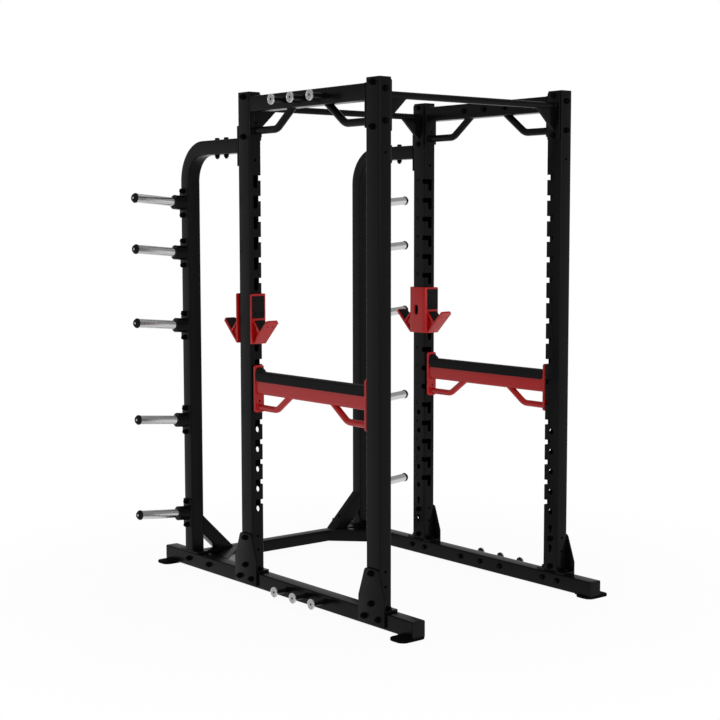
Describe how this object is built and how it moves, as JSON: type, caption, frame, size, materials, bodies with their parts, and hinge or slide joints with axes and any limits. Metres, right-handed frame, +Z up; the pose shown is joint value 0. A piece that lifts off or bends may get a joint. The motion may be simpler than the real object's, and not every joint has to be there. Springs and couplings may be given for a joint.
{
  "type": "power rack",
  "caption": "Free-standing power rack with slotted uprights, pull-up bars, lift-off J-cups, safety arms with handles, band pegs and rear plate storage.",
  "frame": {"origin": "centre of the bounding box at the floor", "axes": "+Z up, -Y towards the rack's open front, +X to the right when looking along +Y"},
  "size_m": [1.825, 2.036, 2.447],
  "materials": {
    "black_coat": "satin black powder coat",
    "red_coat": "satin red powder coat",
    "chrome_steel": "bright chrome plating",
    "black_plastic": "matt black wear plastic"
  },
  "bodies": {
    "frame": {"rear_cross_member": "black_coat", "pull_up_bar_rear": "black_coat", "pull_up_bar_front": "black_coat", "upright_rear_left": "black_coat", "upright_rear_right": "black_coat", "upright_front_left": "black_coat", "upright_front_right": "black_coat", "base_rail_left": "black_coat", "base_rail_right": "black_coat", "gusset_plate_rear_left": "black_coat", "gusset_plate_rear_right": "black_coat", "gusset_plate_front_left": "black_coat", "gusset_plate_front_right": "black_coat", "storage_brace_left": "black_coat", "storage_brace_right": "black_coat", "top_beam_left": "black_coat", "top_beam_right": "black_coat", "storage_post_left": "black_coat", "storage_post_right": "black_coat", "storage_foot_left": "black_coat", "storage_foot_right": "black_coat", "storage_bracket_left": "black_coat", "storage_bracket_right": "black_coat", "plate_horn_1_left": "chrome_steel", "plate_horn_1_right": "chrome_steel", "plate_horn_2_left": "chrome_steel", "plate_horn_2_right": "chrome_steel", "plate_horn_3_left": "chrome_steel", "plate_horn_3_right": "chrome_steel", "plate_horn_4_left": "chrome_steel", "plate_horn_4_right": "chrome_steel", "plate_horn_5_left": "chrome_steel", "plate_horn_5_right": "chrome_steel", "band_peg_top_1_left": "chrome_steel", "band_peg_top_1_right": "chrome_steel", "band_peg_top_2_left": "chrome_steel", "band_peg_top_2_right": "chrome_steel", "band_peg_top_3_left": "chrome_steel", "band_peg_top_3_right": "chrome_steel", "band_peg_base_1_left": "chrome_steel", "band_peg_base_1_right": "chrome_steel", "band_peg_base_2_left": "chrome_steel", "band_peg_base_2_right": "chrome_steel", "band_peg_base_3_left": "chrome_steel", "band_peg_base_3_right": "chrome_steel"},
    "jcup_left_unit": {"jcup_left": "red_coat", "jcup_pad_front_left": "black_plastic", "jcup_pad_rear_left": "black_plastic", "jcup_liner_front_left": "black_plastic", "jcup_liner_rear_left": "black_plastic"},
    "safety_arm_left_unit": {"safety_arm_left": "red_coat", "safety_arm_liner_left": "black_plastic"},
    "jcup_right_unit": {"jcup_right": "red_coat", "jcup_pad_front_right": "black_plastic", "jcup_pad_rear_right": "black_plastic", "jcup_liner_front_right": "black_plastic", "jcup_liner_rear_right": "black_plastic"},
    "safety_arm_right_unit": {"safety_arm_right": "red_coat", "safety_arm_liner_right": "black_plastic"}
  },
  "joints": [
    {"name": "jcup_lift_left", "type": "slide", "parent": "frame", "child": "jcup_left_unit", "axis": [0, 0, 1], "range_m": [0, 0.038]},
    {"name": "safety_arm_lift_left", "type": "slide", "parent": "frame", "child": "safety_arm_left_unit", "axis": [0, 0, 1], "range_m": [0, 0.038]},
    {"name": "jcup_lift_right", "type": "slide", "parent": "frame", "child": "jcup_right_unit", "axis": [0, 0, 1], "range_m": [0, 0.038]},
    {"name": "safety_arm_lift_right", "type": "slide", "parent": "frame", "child": "safety_arm_right_unit", "axis": [0, 0, 1], "range_m": [0, 0.038]}
  ]
}
